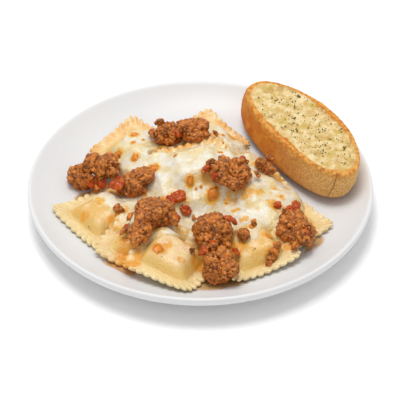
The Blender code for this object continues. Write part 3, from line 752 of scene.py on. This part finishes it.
def grained(base, size, spread, relief, seed):
    """Pushes grains of about this radius out of a rounded lump: each grain is a ball sitting in its surface, and
    a point goes out to the ball that reaches furthest. Also the depth of the hollows, and a tone for each grain."""
    draw = np.random.default_rng(seed)
    middle = base.mean(axis=(0, 1))
    flat = base.reshape(-1, 3)
    spans = flat.max(axis=0) - flat.min(axis=0)
    area = 1.6 * (spans[0] * spans[1] + spans[1] * spans[2] + spans[0] * spans[2])
    count = max(14, int(area / (size * size * spread)))
    weight = np.linalg.norm(np.cross(np.roll(base, -1, 1) - base, np.roll(base, -1, 0) - base), axis=-1).ravel()
    centres = flat[draw.choice(len(flat), count, p=weight / weight.sum())]
    radius = size * draw.uniform(0.45, 1.75, count)
    stands = size * draw.uniform(-0.45, 0.45, count)
    gap = (flat ** 2).sum(1)[:, None] + (centres ** 2).sum(1) - 2 * flat @ centres.T
    ball = np.where(gap < radius ** 2, np.sqrt(np.clip(radius ** 2 - gap, 0, None)) + stands, 0) / size
    out = ball.max(axis=1)
    tone = draw.uniform(0, 1, count)[ball.argmax(axis=1)]
    away = flat - middle
    away = away / np.linalg.norm(away, axis=1, keepdims=True)
    fine = 0.16 * size * lattice_noise(flat, size * 0.5, seed + 1) + 0.3 * size * lattice_noise(flat, size * 1.4, seed + 3)
    moved = flat + away * (size * relief * (out - 0.8) + fine)[:, None]
    return moved.reshape(base.shape), 1 - np.clip(out, 0, 1).reshape(base.shape[:2]), tone.reshape(base.shape[:2])


def lump(x, y, turn, length, width, height, sheet, grain, relief, seed, rows, count):
    """A flattened ball with uneven sides, sitting on the sheet, covered in grains that stand out more or less."""
    down = np.linspace(0, math.pi, rows)[:, None]
    angle = np.linspace(0, 2 * math.pi, count, endpoint=False)
    wide = np.sin(down) ** 0.75
    uneven = 1 + 0.07 * np.sin(2 * angle + seed) + 0.08 * np.sin(3 * angle + 2.3 * seed)
    uneven = uneven * (1 + 0.10 * plan_noise(np.cos(angle), np.sin(angle) + 0 * down, 0.6, seed))
    length, width = 0.84 * length, 0.84 * width
    px, py = turned(length / 2 * wide * np.cos(angle) * uneven, width / 2 * wide * np.sin(angle) * uneven, turn)
    px, py = px + x, py + y
    low = height_of(sheet, px, py)
    level = np.where(down < math.pi / 2, 0.40 + 0.52 * np.abs(np.cos(down)) ** 0.8, 0.40 - 0.40 * np.abs(np.cos(down)))
    pz = height_of(sheet, np.array(x), np.array(y)) * 0.5 + low * 0.5 + height * level
    base = np.stack([px, py, pz + 0 * px], axis=-1)
    base, _, _ = grained(base, 0.17 * length, 1.5, 0.9 * relief, seed + 2)
    rings, hollow_shade, tone = grained(base, grain, 1.8, 1.1 * relief, seed)
    floor = height_of(sheet, rings[..., 0], rings[..., 1])
    rings[..., 2] = np.maximum(rings[..., 2], floor - 0.0002)
    sauce = np.clip(1 - (rings[..., 2] - floor) / (0.5 * height), 0, 1)
    rings[[0, -1]] = rings[[0, -1]].mean(axis=1, keepdims=True)
    points, quads, tris = closed_surface(rings)
    return points, quads, tris, {"hollow_shade": ring_values(hollow_shade), "tone": ring_values(tone), "sauce": ring_values(sauce)}


browned = Look("browned mince", 0.22, Specular_IOR_Level=0.28)
tint = browned.mix(browned.attribute("tone"), (0.13, 0.027, 0.001), (0.76, 0.26, 0.045))
tint = browned.mix(browned.between(browned.noise(0.0035, 3), 0.50, 0.62, 0.7), tint, (0.60, 0.16, 0.010))
tint = browned.mix(browned.between(browned.noise(0.0045, 3), 0.48, 0.36, 0.5), tint, (0.22, 0.06, 0.012))
# Painted highlight: fine pale pinkish specks standing in for glints on the grains.
tint = browned.mix(browned.between(browned.noise(0.0009, 2), 0.58, 0.70, 0.4), tint, (0.78, 0.38, 0.14))
# Painted shade: the hollows between the grains darkened almost to black.
tint = browned.mix(browned.between(browned.attribute("hollow_shade"), 0.25, 0.9, 0.8), tint, (0.10, 0.016, 0.001))
wet = browned.math("MULTIPLY", browned.between(browned.attribute("sauce"), 0.1, 0.9), browned.between(browned.noise(0.004, 3), 0.35, 0.6))
tint = browned.mix(browned.math("MULTIPLY", wet, 0.8), tint, (0.52, 0.11, 0.006))
browned.link(tint, browned.shader.inputs["Base Color"])
browned.bump(browned.noise(0.0007, 3), 0.0005)

for number, (name, x, y, turn, length, width, height) in enumerate(MEAT):
    sheet = sheet_over(MEAT_SAG, 6)
    around = int(length * math.pi / 0.00042)
    points, quads, tris, values = lump(x, y, turn, length, width, height, sheet, 0.0010, 1.0, 300 + 7 * number,
                                       int(around * 0.5), around)
    points[:, 2] = np.minimum(points[:, 2], cad_bounds[1][2] - 0.0001)
    piece = add_piece(name + "_mince", points, quads, tris, browned.material, values)
    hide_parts(name)
    raise_pile(points)


# ---------------------------------------------------------------- crumbs of meat
# Grains and small clumps of the same mince that have fallen between the lumps and stuck in the cheese.

# x, y and width in millimetres
CRUMBS = (
    (-61, -37, 5), (-64, -33, 4), (32, -66, 9), (40, -55, 4), (52, -83, 5), (55, -79, 5),
    (57, -74, 5), (50, -86, 4), (75.6, -71, 8), (79, -62, 6), (70, -75, 5), (-6, -80, 3.5), (4, -83, 6),
    (-20, -58, 6), (8, 0, 6), (12, -10, 5), (3, -3, 4), (-38, 50, 5), (-34, 62, 6), (-33, 45, 5),
    (-15, 48, 5), (12, 54, 4), (-88, 4, 6), (-82, 0, 5), (-86, 18, 11), (-80, 9, 10), (-83.5, 14.5, 9), (-87, 12, 9), (-70, 10, 8), (-66, 30, 3), (47, 3, 6),
    (55, 10, 5), (44, -8, 4), (-26, -25, 4), (-5, -30, 3), (-52, -52, 5), (-56, -62, 5), (-38, -65, 5),
    (31, -8, 5), (35, 6, 5), (10, -86, 5), (20, -84, 5), (63, -48, 4),
)
bodies = []
cover = sheet_over(0.003, 5)
for number, (x, y, width) in enumerate(CRUMBS):
    size = width / 1000
    bodies.append(lump(x / 1000, y / 1000, 40 * number, size * 1.15, size * 0.9, size * 0.6, cover - 0.12 * size,
                       min(0.0010, size / 4), 1.0, 900 + 5 * number, 26, 48))
points, quads, tris, values = joined(bodies)
add_piece("meat_crumbs", points, quads, tris, browned.material, values)


# ---------------------------------------------------------------- tomato
# Soft pieces of tomato from the sauce, glossy and red, melted at the edges.

# x, y, length and width in millimetres
TOMATO = (
    (-66, -6, 12, 9), (-63, -10, 8, 6), (-87, 3, 9, 6), (-79, 4, 9, 7), (-17, -18, 12, 9), (-23, -22, 8, 6),
    (-11, -26, 8, 6), (59, -32, 6, 5), (74, -29, 8, 6), (70, -33, 6, 5), (3, -88, 7, 5), (8, -82, 7, 5),
    (26, -82, 6, 5), (23, -60, 9, 7), (-18, -55, 5, 4), (5, -4, 5, 4),
    (78, -66, 6, 4), (33, 2, 5, 4), (-40, 57, 6, 4), (-18, 47, 6, 4), (-56, -57, 6, 4), (11, -16, 4, 3),
)
bodies = []
cover = sheet_over(0.003, 5)
for number, (x, y, length, width) in enumerate(TOMATO):
    bodies.append(lump(x / 1000, y / 1000, 55 * number, length / 1000, width / 1000, width / 1000 * 0.5,
                       cover - 0.0008, 0.0016, 0.8, 1300 + 5 * number, 26, 48))
points, quads, tris, values = joined(bodies)
red = Look("cooked tomato", 0.16, Specular_IOR_Level=0.3, Subsurface_Weight=0.2, Subsurface_Scale=0.003)
tint = red.mix(red.attribute("tone"), (0.34, 0.026, 0.001), (0.52, 0.090, 0.006))
tint = red.mix(red.between(red.noise(0.0035, 3), 0.50, 0.70, 0.6), tint, (0.64, 0.22, 0.02))
# Painted shade: the hollows between the grains of the tomato darkened.
tint = red.mix(red.between(red.attribute("hollow_shade"), 0.4, 1.0, 0.7), tint, (0.25, 0.03, 0.006))
red.link(tint, red.shader.inputs["Base Color"])
red.bump(red.noise(0.0009, 3), 0.0002)
add_piece("tomato", points, quads, tris, red.material, values)


# ---------------------------------------------------------------- table, light and camera
# A plain white table in soft light from above and behind, so that the shadow falls to the front.

mesh = bpy.data.meshes.new("table")
mesh.from_pydata([(-6, -6, 0), (6, -6, 0), (6, 6, 0), (-6, 6, 0)], [], [(0, 1, 2, 3)])
table = bpy.data.objects.new("table", mesh)
bpy.context.scene.collection.objects.link(table)
matte = Look("white table", 0.9)
matte.link((0.97, 0.97, 0.97), matte.shader.inputs["Base Color"])
matte.shader.inputs["Specular IOR Level"].default_value = 0
mesh.materials.append(matte.material)

world = bpy.data.worlds.new("studio")
bpy.context.scene.world = world
world.use_nodes = True
world.node_tree.nodes["Background"].inputs["Color"].default_value = (1, 1, 1, 1)
world.node_tree.nodes["Background"].inputs["Strength"].default_value = 0.70


def add_light(name, place, towards, width, power):
    """A square soft light that faces a point."""
    data = bpy.data.lights.new(name, "AREA")
    data.shape = "SQUARE"
    data.size = width
    data.energy = power
    light = bpy.data.objects.new(name, data)
    light.location = place
    light.rotation_euler = (Vector(towards) - Vector(place)).to_track_quat("-Z", "Y").to_euler()
    bpy.context.scene.collection.objects.link(light)


add_light("key", (-0.12, 0.15, 1.3), (0, 0, 0), 0.6, 10)

data = bpy.data.cameras.new("camera")
data.lens = 105
data.sensor_width = 36
camera = bpy.data.objects.new("camera", data)
target = Vector((-0.0003, -0.0223, 0.020))
elevation = math.radians(40.31)
camera.location = target + 0.9 * Vector((0, -math.cos(elevation), math.sin(elevation)))
camera.rotation_euler = (target - camera.location).to_track_quat("-Z", "Y").to_euler()
bpy.context.scene.collection.objects.link(camera)
bpy.context.scene.camera = camera
bpy.context.scene.view_settings.view_transform = "Standard"
